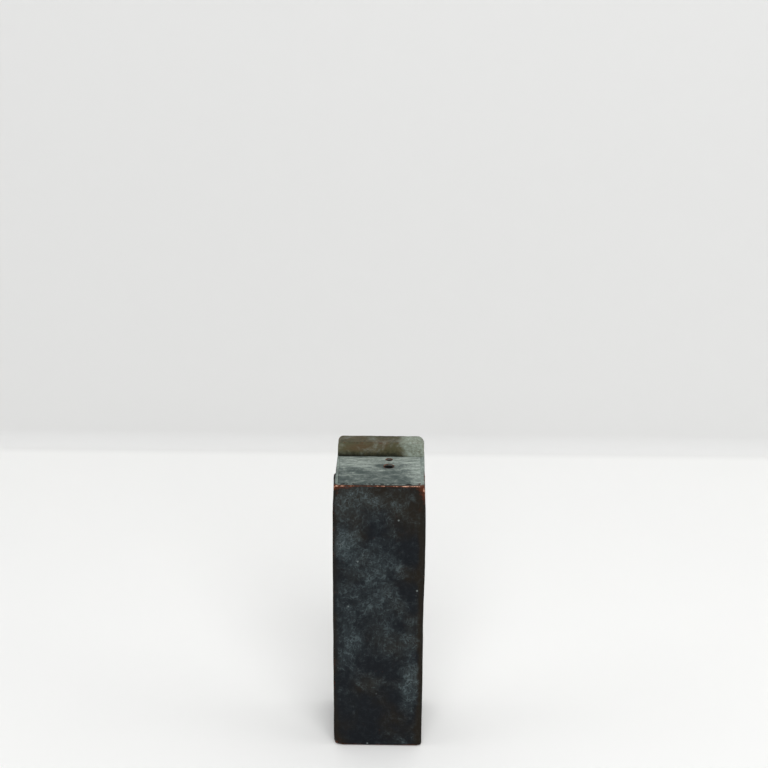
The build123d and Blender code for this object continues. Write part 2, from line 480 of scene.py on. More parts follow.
    def rubbed(self, material: bpy.types.Material, place: Socket, worn: Socket) -> list[bpy.types.Node]:
        """Where wear has reached the brown cuprite and where bare metal, as ragged as rubbing leaves them.

        Args:
            material: The material.
            place: The coordinates.
            worn: How worn the piece is there.

        Returns:
            The mask of the cuprite and the mask of the metal.
        """
        links = {"Vector": place, "Scale": per_metre(self.rag_mm), "Detail": 5.0, "Roughness": 0.62}
        tongues = add_node(material, "TexNoise", links)
        ragged = add_node(material, "Math", {0: tongues, 1: 0.5}, operation="SUBTRACT")
        edge = add_node(material, "Math", {0: ragged, 1: 1.2, 2: worn}, operation="MULTIPLY_ADD")
        levels = ((0.16, 0.56), (0.58, 0.86))
        return [add_node(material, "MapRange", {0: edge, 1: low, 2: high}, **SMOOTH) for low, high in levels]

    def shade(self, material: bpy.types.Material, surface: bpy.types.Node) -> None:
        """Builds the patina's nodes.

        Args:
            material: The new material.
            surface: Its surface shader.
        """
        place = add_node(material, "TexCoord").outputs["Object"]
        worn, pale, dirt, warm, crest = (
            add_node(material, "Attribute", attribute_name=name).outputs["Fac"]
            for name in ("worn", "pale", "dirt", "warm", "crest")
        )

        # The first coat wanders between a blue black and a brown black over a few centimetres.
        links = {"Vector": place, "Scale": per_metre(2 * self.cloud_mm), "Detail": 4.0}
        slow = add_node(material, "TexNoise", links)
        warmth = add_node(material, "Math", {0: warm, 1: 0.5, 2: slow}, operation="MULTIPLY_ADD")
        brown = add_node(material, "MapRange", {0: warmth, 1: 0.46, 2: 0.80}, **SMOOTH)
        links = {"Fac": brown, "Color1": self.ground, "Color2": self.ground_shift}
        coat = add_node(material, "MixRGB", links)
        coat = add_node(material, "MixRGB", {"Fac": crest, "Color1": coat, "Color2": self.crest})
        links = {"Fac": crest, "Color1": self.bloom, "Color2": self.crest_bloom}
        salts = add_node(material, "MixRGB", links)

        # The stipple is grains of salt as wide as the brush's bristles leave them.
        cloud = self.clouds(material, place, pale)
        links = {"Vector": place, "Scale": per_metre(self.grain_mm), "Detail": 3.0, "Roughness": 0.6}
        grain = add_node(material, "TexNoise", links)
        stipple = add_node(material, "MapRange", {0: grain, 1: 0.36, 2: 0.68}, **SMOOTH)
        grainy = add_node(material, "Math", {0: cloud, 1: stipple}, operation="MULTIPLY")
        salty = add_node(material, "Math", {0: cloud, 1: 0.7, 2: grainy}, operation="MULTIPLY_ADD")
        film = add_node(material, "Math", {0: salty, 1: 0.28}, operation="MULTIPLY")

        # The brush's marks hold in the salts and hardly at all beside them. Grain breaks up dirt and painted
        # shade.
        hold = add_node(material, "MapRange", {0: cloud, 3: 0.07, 4: 1.0})
        tracks = self.tracks(material, place, hold)
        soil_and_shade = add_node(material, "Math", {0: grain, 1: 0.5, 2: dirt}, operation="MULTIPLY_ADD")
        soiled_and_shaded = add_node(material, "MapRange", {0: soil_and_shade, 1: 0.42, 2: 0.90}, **SMOOTH)
        browned, bared = self.rubbed(material, place, worn)
        for mask, colour in (
            (film, salts),
            (tracks, salts),
            (self.brushed(material, place, hold), salts),
            (self.specks(material, place), self.speck),
            (soiled_and_shaded, self.grime_and_shade),
            (browned, self.oxide),
            (bared, self.metal),
        ):
            coat = add_node(material, "MixRGB", {"Fac": mask, "Color1": coat, "Color2": colour})

        chalky = add_node(material, "MapRange", {0: salty, 3: self.roughness, 4: self.roughness + self.chalk})
        polished = add_node(material, "MapRange", {0: bared, 3: 1.0, 4: 0.7})
        dullness = add_node(material, "Math", {0: chalky, 1: polished}, operation="MULTIPLY")
        proud = add_node(material, "Math", {0: grainy, 1: 0.8, 2: tracks}, operation="MULTIPLY_ADD")
        proud = add_node(material, "Math", {0: slow, 1: 0.6, 2: proud}, operation="MULTIPLY_ADD")
        links = {"Height": proud, "Distance": self.build_up_mm * MM, "Strength": 0.7}
        bump = add_node(material, "Bump", links)
        feed(
            material,
            surface,
            {
                "Base Color": coat,
                "Metallic": bared,
                "Roughness": dullness,
                "Normal": bump,
                "Specular IOR Level": self.gloss,
            },
        )


@dataclass(frozen=True)
class WoolFelt(Finish):
    """Pressed wool felt: matted fibres with no weave, dark green, and quite without gloss.

    Attributes:
        wool: The dyed wool, sRGB.
        fibre: The lighter fibres that stand up, sRGB.
        fibre_mm: Length of a fibre's visible stretch.
        hair_mm: Width of a fibre, drawn about ten times coarser than real so that it shows.
        lays: The ways that the fibres lie, in radians.
    """

    title: str = "wool_felt"
    wool: str = "#232b24"
    fibre: str = "#4d5a4e"
    fibre_mm: float = 3.0
    hair_mm: float = 0.25
    lays: tuple[float, ...] = (0.2, 1.25, 2.3)

    def shade(self, material: bpy.types.Material, surface: bpy.types.Node) -> None:
        """Builds the felt's nodes.

        Args:
            material: The new material.
            surface: Its surface shader.
        """
        place = add_node(material, "TexCoord").outputs["Object"]
        scale = (per_metre(self.fibre_mm), per_metre(self.hair_mm), per_metre(self.hair_mm))
        matted = 0.0
        for lay in self.lays:
            turned = add_node(material, "Mapping", {"Vector": place, "Rotation": (0.0, 0.0, lay)})
            drawn = add_node(material, "Mapping", {"Vector": turned, "Scale": scale})
            links = {"Vector": drawn, "Scale": 1.0, "Detail": 2.0, "Distortion": 0.8}
            hairs = add_node(material, "TexNoise", links)
            matted = add_node(material, "Math", {0: matted, 1: hairs}, operation="MAXIMUM")
        standing = add_node(material, "MapRange", {0: matted, 1: 0.52, 2: 0.74}, **SMOOTH)
        colour = add_node(material, "MixRGB", {"Fac": standing, "Color1": self.wool, "Color2": self.fibre})
        bump = add_node(material, "Bump", {"Height": matted, "Distance": 0.25 * MM, "Strength": 0.8})
        links = {"Base Color": colour, "Normal": bump, "Roughness": 0.95, "Sheen Weight": 0.3}
        feed(material, surface, links)


class Cut(Enum):
    """How bought metal was shaped last, as the stretch of its tool marks along X, Y and Z."""

    DRAWN = (1.0, 1.0, 0.02)
    ROLLED = (0.12, 1.0, 1.0)
    TURNED = (0.35, 0.35, 3.0)
    PLATED = (1.0, 1.0, 1.0)


@dataclass(frozen=True)
class StockMetal(Finish):
    """Metal as bought or machined, for what is hidden in the column: fine tool marks under a slow tarnish.

    Attributes:
        bright: Its clean colour, sRGB.
        dull: Its tarnished or scaled colour, sRGB.
        cut: How it was shaped.
        mark_mm: Spacing of the tool marks.
        stain_mm: Size of a tarnished patch.
        roughness: Typical for that surface.
    """

    title: str = "stock_metal"
    bright: str = "#b0b2b6"
    dull: str = "#74767b"
    cut: Cut = Cut.PLATED
    mark_mm: float = 0.4
    stain_mm: float = 7.0
    roughness: float = 0.35

    def shade(self, material: bpy.types.Material, surface: bpy.types.Node) -> None:
        """Builds the metal's nodes.

        Args:
            material: The new material.
            surface: Its surface shader.
        """
        place = add_node(material, "TexCoord").outputs["Object"]
        scale = tuple(stretch * per_metre(self.mark_mm) for stretch in self.cut.value)
        drawn = add_node(material, "Mapping", {"Vector": place, "Scale": scale})
        marks = add_node(material, "TexNoise", {"Vector": drawn, "Scale": 1.0, "Detail": 3.0})
        links = {"Vector": place, "Scale": per_metre(self.stain_mm), "Detail": 5.0}
        stain = add_node(material, "TexNoise", links)
        both = add_node(material, "Math", {0: marks, 1: 0.5, 2: stain}, operation="MULTIPLY_ADD")
        tarnish = add_node(material, "MapRange", {0: both, 1: 0.55, 2: 1.0})
        colour = add_node(material, "MixRGB", {"Fac": tarnish, "Color1": self.bright, "Color2": self.dull})
        links = {0: both, 3: self.roughness - 0.1, 4: self.roughness + 0.15}
        dullness = add_node(material, "MapRange", links)
        bump = add_node(material, "Bump", {"Height": marks, "Distance": 0.02 * MM, "Strength": 0.5})
        links = {"Base Color": colour, "Roughness": dullness, "Normal": bump, "Metallic": 1.0}
        feed(material, surface, links)


@dataclass(frozen=True)
class SheetRubber(Finish):
    """Black calendered rubber sheet, dusted with talc: matt, with a faint grey bloom.

    Attributes:
        rubber: The rubber, sRGB.
        talc: The rubber under talc, sRGB.
        dust_mm: Size of a dusted patch.
    """

    title: str = "sheet_rubber"
    rubber: str = "#1b1b1c"
    talc: str = "#3a3a3b"
    dust_mm: float = 2.5

    def shade(self, material: bpy.types.Material, surface: bpy.types.Node) -> None:
        """Builds the rubber's nodes.

        Args:
            material: The new material.
            surface: Its surface shader.
        """
        place = add_node(material, "TexCoord").outputs["Object"]
        links = {"Vector": place, "Scale": per_metre(self.dust_mm), "Detail": 6.0}
        dust = add_node(material, "TexNoise", links)
        colour = add_node(material, "MixRGB", {"Fac": dust, "Color1": self.rubber, "Color2": self.talc})
        bump = add_node(material, "Bump", {"Height": dust, "Distance": 0.05 * MM, "Strength": 0.4})
        feed(material, surface, {"Base Color": colour, "Normal": bump, "Roughness": 0.85})


@dataclass(frozen=True)
class StudioPaper(Finish):
    """Matt white seamless paper for the floor and the sweep behind it, with painted shade where it hangs.

    Attributes:
        paper: Its colour, sRGB.
        shade_of_paper: What it wanders to, sRGB.
        hung_painted_shade: Painted shade, the greyer colour where it hangs, sRGB.
        fade_from: How far back the floor starts to turn grey with painted shade, in metres.
        fade_to: Where it has the hung part's colour.
    """

    title: str = "studio_paper"
    paper: str = "#f4f4f2"
    shade_of_paper: str = "#f1f1f0"
    hung_painted_shade: str = "#dddddc"
    fade_from: float = 0.47
    fade_to: float = 0.502

    def shade(self, material: bpy.types.Material, surface: bpy.types.Node) -> None:
        """Builds the paper's nodes.

        Args:
            material: The new material.
            surface: Its surface shader.
        """
        place = add_node(material, "TexCoord").outputs["Object"]
        cast = add_node(material, "TexNoise", {"Vector": place, "Scale": 3.0, "Detail": 2.0})
        links = {"Fac": cast, "Color1": self.paper, "Color2": self.shade_of_paper}
        colour = add_node(material, "MixRGB", links)
        back = add_node(material, "SeparateXYZ", {0: place}).outputs["Y"]
        # Where the paper hangs it is painted greyer: painted shade.
        hung_shade_share = add_node(material, "MapRange", {0: back, 1: self.fade_from, 2: self.fade_to}, **SMOOTH)
        colour = add_node(material, "MixRGB", {"Fac": hung_shade_share, "Color1": colour, "Color2": self.hung_painted_shade})
        feed(material, surface, {"Base Color": colour, "Roughness": 0.9, "Specular IOR Level": 0.1})


# Torched blue black and stippled: dark and smoky, with fine pale curls.
WALL_BRONZE = PatinatedBronze(title="blue_black_patina")
# Brushed from side to side with pale salts: grey green and streaked.
LEDGE_BRONZE = PatinatedBronze(
    title="grey_green_patina",
    ground="#414b49",
    ground_shift="#384140",
    bloom="#b5bfb6",
    speck="#c4ccc4",
    grime_and_shade="#161817",
    cloud_mm=9.0,
    curl_mm=5.0,
    curl_share=0.2,
    stroke_mm=14.0,
    bristle_mm=0.9,
    brushing=Brushing.SIDE_TO_SIDE,
    stroke_share=0.75,
    roughness=0.6,
)
# A thin brown coat under green salts: olive, with soft brown places.
KERB_BRONZE = PatinatedBronze(
    title="olive_brown_patina",
    ground="#514f39",
    ground_shift="#594b36",
    bloom="#b2c0b6",
    speck="#a9ada0",
    # Also the colour of the painted shade at the bar's foot.
    grime_and_shade="#22231a",
    cloud_mm=11.0,
    cloud_low=0.52,
    cloud_high=0.86,
    curl_mm=4.0,
    curl_share=0.15,
    stroke_mm=9.0,
    bristle_mm=0.9,
    brushing=Brushing.SIDE_TO_SIDE,
    stroke_share=0.25,
    roughness=0.58,
)
# Drawn brass bar: warm and fairly bright, with fine lines along it.
DRAWN_BRASS = StockMetal(
    title="drawn_brass", bright="#d9b36a", dull="#a57e3f", cut=Cut.DRAWN, mark_mm=0.3, roughness=0.32
)
# Rolled mild steel plate: dull grey, with broad marks one way.
ROLLED_STEEL = StockMetal(
    title="rolled_mild_steel", bright="#6c6f75", dull="#4a4c51", cut=Cut.ROLLED, mark_mm=0.8, roughness=0.5
)
# Steel faced on a lathe: bright, with close tool marks.
TURNED_STEEL = StockMetal(
    title="lathe_turned_steel", bright="#a9abaf", dull="#7d7f84", cut=Cut.TURNED, mark_mm=0.6, roughness=0.3
)
# Zinc plate on screws and washers: pale, cool and faintly mottled.
ZINC_PLATE = StockMetal(
    title="zinc_plate", bright="#c6cacf", dull="#9aa0a6", cut=Cut.PLATED, mark_mm=0.5, roughness=0.3
)


# ---- meshes ----------------------------------------------------------------------------------------------


@dataclass
class Cast:
    """A closed mesh on its way to being a piece, with the values that its finish reads.

    Attributes:
        points: Vertex places in metres, one row each.
        faces: Each face's vertices, anticlockwise from outside.
        flat_faces: The faces that are cut square, and so aren't smoothed.
    """

    points: np.ndarray
    faces: list[tuple[int, ...]]
    flat_faces: set[int] = field(default_factory=set)

    def piece(
        self, name: str, finish: Finish, slot: str, replaces: str, **values: np.ndarray
    ) -> None:
        """Makes the piece, links it under the body's empty and hides the CAD node that it stands for.

        Args:
            name: The piece's name.
            finish: What it is made of.
            slot: The record's material slot for it; not used.
            replaces: The CAD node that it stands for.
            **values: Attribute name to a value for each vertex.
        """
        mesh = bpy.data.meshes.new(name)
        mesh.from_pydata([tuple(p) for p in self.points], [], self.faces)
        mesh.polygons.foreach_set("use_smooth", [i not in self.flat_faces for i in range(len(self.faces))])
        for attribute, value in values.items():
            layer = mesh.attributes.new(attribute, "FLOAT", "POINT")
            layer.data.foreach_set("value", np.clip(value, -1, 2).astype(np.float32))
        mesh.materials.append(finish.material())
        mesh.update()
        made = bpy.data.objects.new(name, mesh)
        bpy.context.scene.collection.objects.link(made)
        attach(made, BODY)
        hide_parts(replaces)
        LOG.info("%s: %d faces for %s", name, len(self.faces), replaces)


@dataclass
class Column:
    """What the four walls share, so that they meet at their mitres.

    Attributes:
        half: From the middle to a wall's true face, in metres.
        inner: From the middle to a wall's inner face.
        low: Height of the walls' lower edge.
        high: Height of their upper edge.
        arris: Mean radius of a dressed arris.
        arris_wander: How much that radius comes and goes.
        reliefs: The unevenness of the faces.
        shifts: The corners that have been knocked, and the bellies of the plates.
        dressed_from: How far behind the middle the upper edges start to be ground back.
        dressed_height: How far down from the top the grinding reaches.
        dressed_left: How much is gone from the left upper edge.
        dressed_right: How much is gone from the right one.
    """

    half: float
    inner: float
    low: float
    high: float
    arris: float = 1.2 * MM
    arris_wander: Relief = Relief(0.45 * MM, 24 * MM, 3, 3.1)
    reliefs: tuple[Relief, ...] = (
        Relief(0.22 * MM, 80 * MM, 2, 11.0),
        Relief(0.12 * MM, 17 * MM, 3, 5.0),
        Relief(0.035 * MM, 2.6 * MM, 2, 8.0),
    )
    shifts: tuple[Shift, ...] = ()
    dressed_from: float = -10 * MM
    dressed_height: float = 12 * MM
    dressed_left: float = 1.4 * MM
    dressed_right: float = 0.35 * MM

    @classmethod
    def from_frame(cls) -> "Column":
        """Takes the column's sizes from its CAD front wall.

        Returns:
            The column, with its knocked corners and its bellies in place.
        """
        low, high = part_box("front_plate")
        half, tall = -low.y, high.z - low.z
        belly_right, belly_left = low.z + 0.78 * tall, low.z + 0.62 * tall
        return cls(
            half=half,
            inner=-high.y,
            low=low.z,
            high=high.z,
            shifts=(
                Shift(Vector((-half, -half, low.z)), 7 * MM, 1.3 * MM, Vector((1.0, 0.7, 0.5))),
                Shift(Vector((half, -half, low.z)), 4 * MM, 0.6 * MM, Vector((-1, 1, 1))),
                Shift(Vector((half, -half, high.z)), 6 * MM, 0.5 * MM, Vector((-1, 1, -1))),
                Shift(Vector((-half, -half, high.z)), 16 * MM, 0.5 * MM, Vector((1, 0.4, -0.3))),
                Shift(Vector((-half, half, low.z)), 5 * MM, 0.7 * MM, Vector((1, -1, 1))),
                Shift(Vector((half, -half, high.z + 8 * MM)), 50 * MM, 0.55 * MM, Vector((-1, 0, 0))),
                Shift(Vector((half, -half, belly_right)), 62 * MM, 0.65 * MM, Vector((1, 0, 0))),
                Shift(Vector((-half, -half, belly_left)), 75 * MM, 0.35 * MM, Vector((-1, 0, 0))),
            ),
        )

    def dressed(self, points: np.ndarray) -> np.ndarray:
        """The points after the left and right upper edges have been ground back.

        The plate is thinned towards its inner face, so that neighbours still meet at their mitre.

        Args:
            points: Places in metres, one row each.

        Returns:
            The moved places.
        """
        x, y, z = points.T
        ends = self.dressed_from
        along = smooth_step(y, ends - 1.3 * MM, ends + 1.3 * MM)
        climb = np.clip((z - self.high + self.dressed_height) / self.dressed_height, 0, 1)
        uneven = 1 + 0.12 * Relief(1.0, 6 * MM, 3, 71.0).at(points * (0, 1, 1))
        width = np.where(x < 0, self.dressed_left, self.dressed_right) * along * climb * uneven
        outside = np.clip(np.abs(x) - self.inner, 0, None)
        thickness = self.half - self.inner
        moved = points.copy()
        moved[:, 0] = x - np.sign(x) * outside * width / thickness
        return moved

    def arris_radius(self, corner_x: float, corner_y: float, heights: np.ndarray) -> np.ndarray:
        """The radius of one corner's arris at each height.

        Args:
            corner_x: The corner's true place across the front.
            corner_y: Its true place from front to back.
            heights: Heights in metres.

        Returns:
            Radii in metres.
        """
        places = np.stack([np.full_like(heights, corner_x), np.full_like(heights, corner_y), heights], 1)
        return np.clip(self.arris + self.arris_wander.at(places), 0.5 * MM, 2.5 * MM)


class Side(Enum):
    """The four walls: how far each is turned from the front, in degrees."""

    FRONT = 0
    RIGHT = 90
    BACK = 180
    LEFT = 270


@dataclass
class Places:
    """Where a wall's vertices lie: distances inside the column's true faces, and what follows from them.

    Attributes:
        column: The column.
        points: The vertices, one row each, in metres.
        inside: How far inside the wall's own outer face each one lies.
    """

    column: Column
    points: np.ndarray
    inside: np.ndarray

    def __post_init__(self) -> None:
        """Measures the distances, in metres, and the masks that more than one coat reads."""
        half, start = self.column.half, self.column.dressed_from
        self.x, self.y, self.z = self.points.T
        self.down, self.up = self.column.high - self.z, self.z - self.column.low
        self.front, self.back = self.y + half, half - self.y
        self.left, self.right = self.x + half, half - self.x
        self.front_right = to_arris(self.front, self.right)
        self.front_left = to_arris(self.front, self.left)
        self.front_left_foot = to_arris(self.front_left, self.up)
        self.rim = smooth_step(-self.down, -1.0 * MM, -0.3 * MM)
        self.dressed = smooth_step(self.y, start - 1.5 * MM, start + 1.5 * MM)
        self.past_lip = smooth_step(self.left, 0.9 * MM, 1.6 * MM)


@dataclass
class Wall:
    """One mitred bronze plate of the column.

    It is a ring of rows, up the outer face, over the top edge, down the inner face and under, repeated
    for each station from mitre to mitre, and closed by its two mitre faces.

    Attributes:
        column: What the four walls share.
        side: Which wall this is.
        pitch: Spacing of the points on the outer face.
        arc_steps: How many faces half an arris takes.
        top_edge: Radius of the top arris.
        bottom_edge: Radius of the bottom arris.
    """

    column: Column
    side: Side
    pitch: float = 0.6 * MM
    arc_steps: int = 5
    top_edge: float = 1.0 * MM
    bottom_edge: float = 0.6 * MM

    @property
    def node(self) -> str:
        """The CAD node that the wall stands for."""
        return f"{self.side.name.lower()}_plate"

    def profile(self) -> list[tuple[float, float, float, float]]:
        """The ring of rows of one station.

        Returns:
            For each row: the share of the plate's thickness that it lies inside the outer face, its share
            of the clear height, its upright shift in metres, and the lean of its normal in degrees.
        """
        column = self.column
        thickness = column.half - column.inner
        rows = [(1.0, 0.0, 0.0, -90.0), (0.6, 0.0, 0.0, -90.0)]
        for step in range(self.arc_steps + 1):
            lean = -90 + 90 * step / self.arc_steps
            inset = self.bottom_edge * (1 - math.cos(math.radians(lean)))
            lift = self.bottom_edge * (1 + math.sin(math.radians(lean)))
            rows.append((inset / thickness, 0.0, lift, lean))
        clear = column.high - column.low - self.bottom_edge - self.top_edge
        count = round(clear / self.pitch)
        rows += [(0.0, row / count, 0.0, 0.0) for row in range(1, count)]
        for step in range(self.arc_steps + 2):
            lean = 90 * step / (self.arc_steps + 1)
            inset = self.top_edge * (1 - math.cos(math.radians(lean)))
            drop = self.top_edge * (1 - math.sin(math.radians(lean)))
            rows.append((inset / thickness, 1.0, -drop, lean))
        rows += [(share, 1.0, 0.0, 90.0) for share in (0.45, 0.58, 0.72, 0.86, 0.95)]
        rows += [(1.0, 1.0, -0.1 * MM, 180.0)]
        rows += [(1.0, share, 0.0, 180.0) for share in (0.97, 0.75, 0.5, 0.25, 0.05)]
        return rows

    def cast(self) -> tuple[Cast, np.ndarray]:
        """Builds the plate's mesh.

        Returns:
            The mesh, and how far inside the outer face each of its vertices lies, in metres.
        """
        column, thickness = self.column, self.column.half - self.column.inner
        rows = np.array(self.profile())
        shares, climbs, shifts, leans = rows.T
        bottom, top = column.low + self.bottom_edge, column.high - self.top_edge
        heights = np.where(
            climbs <= 0, column.low + shifts, np.where(climbs >= 1, column.high + shifts, 0)
        )
        between = (climbs > 0) & (climbs < 1)
        heights[between] = bottom + climbs[between] * (top - bottom)
        turn = Matrix.Rotation(math.radians(self.side.value), 3, "Z")
        turned = np.array(turn)
        left_corner = turn @ Vector((-column.half, -column.half, 0))
        right_corner = turn @ Vector((column.half, -column.half, 0))
        left_radius = column.arris_radius(left_corner.x, left_corner.y, heights)
        right_radius = column.arris_radius(right_corner.x, right_corner.y, heights)

        flat_count = round(2 * column.half / self.pitch)
        stations = (
            [("left", step / self.arc_steps) for step in range(self.arc_steps)]
            + [("flat", step / flat_count) for step in range(flat_count + 1)]
            + [("right", 1 - step / self.arc_steps) for step in range(1, self.arc_steps + 1)]
        )
        points, normals = [], []
        for kind, share in stations:
            if kind == "flat":
                start, end = -(column.half - left_radius), column.half - right_radius
                x = start + share * (end - start)
                y = np.full_like(x, -column.half)
                out = np.stack([np.zeros_like(x), -np.ones_like(x)], 1)
                radius = np.where(x < 0, left_radius, right_radius)
            else:
                radius, mirror = (right_radius, 1) if kind == "right" else (left_radius, -1)
                angle = math.radians(45 * (1 - share))
                x = mirror * (column.half - radius + radius * math.sin(angle))
                y = -(column.half - radius + radius * math.cos(angle))
                out = np.tile((mirror * math.sin(angle), -math.cos(angle)), (len(heights), 1))
            mitre = column.half - radius * (1 - math.sqrt(0.5))
            inner_x = x * column.inner / mitre
            place_x = x + (inner_x - x) * shares
            place_y = y + (-column.inner - y) * shares
            lean = np.radians(leans)
            normals.append(
                np.stack([out[:, 0] * np.cos(lean), out[:, 1] * np.cos(lean), np.sin(lean)], 1)
            )
            points.append(np.stack([place_x, place_y, heights], 1))
        points = np.concatenate(points) @ turned.T
        normals = np.concatenate(normals) @ turned.T

        all_leans = np.tile(leans, len(stations))
        all_shares = np.tile(shares, len(stations))
        held = (all_leans < 0) | (all_leans > 90) | (all_shares > 0.9)
        lift = sum(relief.at(points) for relief in column.reliefs)
        lift = np.where(all_leans > 60, lift * 0.3, lift)
        points = points + normals * np.where(held, 0, lift)[:, None]
        for shift in column.shifts:
            points = shift.moved(points)
        points = column.dressed(points)

        count, ring = len(stations), len(rows)
        faces = []
        for station in range(count - 1):
            for row in range(ring):
                after = (row + 1) % ring
                here, there = station * ring, (station + 1) * ring
                faces.append((here + row, there + row, there + after, here + after))
        last = (count - 1) * ring
        flat = {len(faces), len(faces) + 1}
        faces.append(tuple(range(ring)))
        faces.append(tuple(last + row for row in reversed(range(ring))))
        return Cast(points, faces, flat), all_shares * thickness

    def worn(self, at: Places) -> np.ndarray:
        """Where the patina is rubbed through.

        Args:
            at: Where the vertices lie.

        Returns:
            How worn each one is, from nought to about one.
        """
        half = self.column.half
        # The top arrises are handled most; the front one is bare from end to end, thinly in its middle.
        ends = smooth_step(np.abs(at.x), 0.45 * half, 0.95 * half)
        line = (0.62 + 0.26 * smooth_fall(at.left, 10 * MM) + 0.12 * ends) * MM
        return strongest(
            (0.78 + 0.50 * ends, to_arris(at.front, at.down), line),
            ((0.12 + 0.46 * ends) * (at.front < 1.5 * MM), at.down, 2.8 * MM),
            (0.55 * (at.y < 24 * MM - half), to_arris(at.right, at.down), 1.1 * MM),
            (0.30, to_arris(at.left, at.down), 1.0 * MM),
            (0.50, to_arris(at.back, at.down), 1.1 * MM),
            (0.80, to_arris(at.front_right, at.down / 3.2), 3.6 * MM),
            (0.74, to_arris(at.front_left, at.down / 1.4), 3.4 * MM),
            # The upright arrises, the foot and the front left corner of the foot.
            (0.03, at.front_right, 2.6 * MM),
            (0.20, at.front_left, 1.3 * MM),
            (0.30, to_arris(at.back, at.right), 1.5 * MM),
            (0.30, to_arris(at.back, at.left), 1.5 * MM),
            (0.42, at.up, 1.2 * MM),
            (0.40, at.front_left_foot, 5.0 * MM),
        )

    def warm(self, at: Places) -> np.ndarray:
        """Where the first coat turned brown: under the top, up the front arrises and at the left foot.

        Args:
            at: Where the vertices lie.

        Returns:
            How brown each one is.
        """
        browns = (
            (0.50, at.down, 26 * MM),
            (0.45, at.front_left, 3 * MM),
            (1.1, at.front_right, 3.2 * MM),
            (0.9, at.front_left_foot, 9.0 * MM),
        )
        return sum(share * smooth_fall(distance, reach) for share, distance, reach in browns)

    def crest(self, at: Places) -> np.ndarray:
        """Where the ledge's pale patina laps over the rim, but for the left front lip and the front arris.

        Args:
            at: Where the vertices lie.

        Returns:
            A value from nought to one for each.
        """
        lap = smooth_fall(at.down, 3.5 * MM) * at.dressed * (np.minimum(at.left, at.right) < 2.5 * MM)
        crest = np.maximum(at.rim * np.maximum(at.dressed, at.past_lip), 0.8 * lap)
        return crest * smooth_step(at.front, 1.0 * MM, 2.4 * MM)

    def pale(self, at: Places, crest: np.ndarray) -> np.ndarray:
        """How thick the pale salts lie: stippled on in a few patches, and hardly at all in the lower third.

        Args:
            at: Where the vertices lie.
            crest: Where the ledge's patina laps over.

        Returns:
            How much paler each one is.
        """
        column = self.column
        pale = 0.15 * smooth_step(at.z, column.low + 30 * MM, column.low + 95 * MM)
        across = at.x if self.side in (Side.FRONT, Side.BACK) else at.y
        if self.side in (Side.BACK, Side.LEFT):
            across = -across
        for patch in SALT_PATCHES:
            middle = column.low + patch.up * (column.high - column.low)
            aside = (across - patch.across * column.half) / patch.wide
            offset = np.hypot(aside, (at.z - middle) / patch.tall)
            pale = pale + patch.strength * smooth_fall(offset, 1.0)
        pale -= 0.9 * smooth_fall(at.front_right, 3.0 * MM) + 0.4 * smooth_fall(at.front_left, 2.5 * MM)
        return pale + crest * (0.30 + 0.9 * smooth_step(at.y, -10 * MM, 16 * MM) + 0.8 * (at.x > 0))

    def dirt(self, at: Places) -> np.ndarray:
        """Wax and dirt in the ledge joints, on the left lip and at the foot; darker up the front arrises.

        Args:
            at: Where the vertices lie.

        Returns:
            How dark each one is: dirt, and painted shade on the left front arris.
        """
        on_top = at.down < 1 * MM
        seam = smooth_step(at.inside, 2.2 * MM, 2.9 * MM) * on_top
        front_seam = smooth_step(at.front, 1.5 * MM, 2.3 * MM) * on_top * (at.front < 4 * MM)
        dark_lip = (1 - at.past_lip) * (1 - at.dressed) * (at.left < 2 * MM)
        joints = np.maximum(0.70 * front_seam * broken_joint(at.points), 0.10 * seam)
        marks = strongest(
            (0.70 * dark_lip, at.down, 2.5 * MM),
            (0.30, at.up, 2.5 * MM),
            # Up the front arrises, darker; on the left one this is painted shade of its rounded corner.
            (0.30 * (1 - at.rim), at.front_right, 2.6 * MM),
            (0.42 * (1 - at.rim), at.front_left, 2.6 * MM),
        )
        return np.where(at.inside > 2.95 * MM, 0.5, np.maximum(joints, marks))

    def build(self) -> None:
        """Builds and dresses the plate."""
        cast, inside = self.cast()
        at = Places(self.column, cast.points, inside)
        crest = self.crest(at)
        cast.piece(
            f"{self.side.name.lower()}_wall",
            WALL_BRONZE,
            "bronze_wall",
            self.node,
            worn=self.worn(at),
            pale=self.pale(at, crest),
            dirt=self.dirt(at),
            warm=self.warm(at),
            crest=crest,
        )


@dataclass(frozen=True)
class SaltPatch:
    """One patch of pale salts on a wall.

    Attributes:
        across: Its middle, from minus one at the left arris to one at the right.
        up: Its middle, from nought at the foot to one at the ledge.
        wide: Half its width, in metres.
        tall: Half its height, in metres.
        strength: How much paler it is; less than nought is darker.
    """

    across: float
    up: float
    wide: float
    tall: float
    strength: float


# Placed one by one, and the same on all four walls.
SALT_PATCHES = (
    SaltPatch(-0.75, 0.785, 7 * MM, 11 * MM, 0.75),
    SaltPatch(-0.65, 0.93, 9 * MM, 9 * MM, 0.40),
    SaltPatch(0.00, 0.705, 12 * MM, 8 * MM, 0.24),
    SaltPatch(-0.15, 0.590, 14 * MM, 13 * MM, 0.22),
    SaltPatch(-0.60, 0.400, 8 * MM, 13 * MM, 0.45),
    SaltPatch(0.70, 0.400, 7 * MM, 12 * MM, 0.10),
    SaltPatch(0.72, 0.230, 7 * MM, 16 * MM, 0.75),
    SaltPatch(0.72, 0.760, 10 * MM, 32 * MM, -0.40),
    SaltPatch(0.05, 0.180, 17 * MM, 26 * MM, -0.18),
    SaltPatch(-0.30, 0.060, 24 * MM, 20 * MM, -0.22),
)


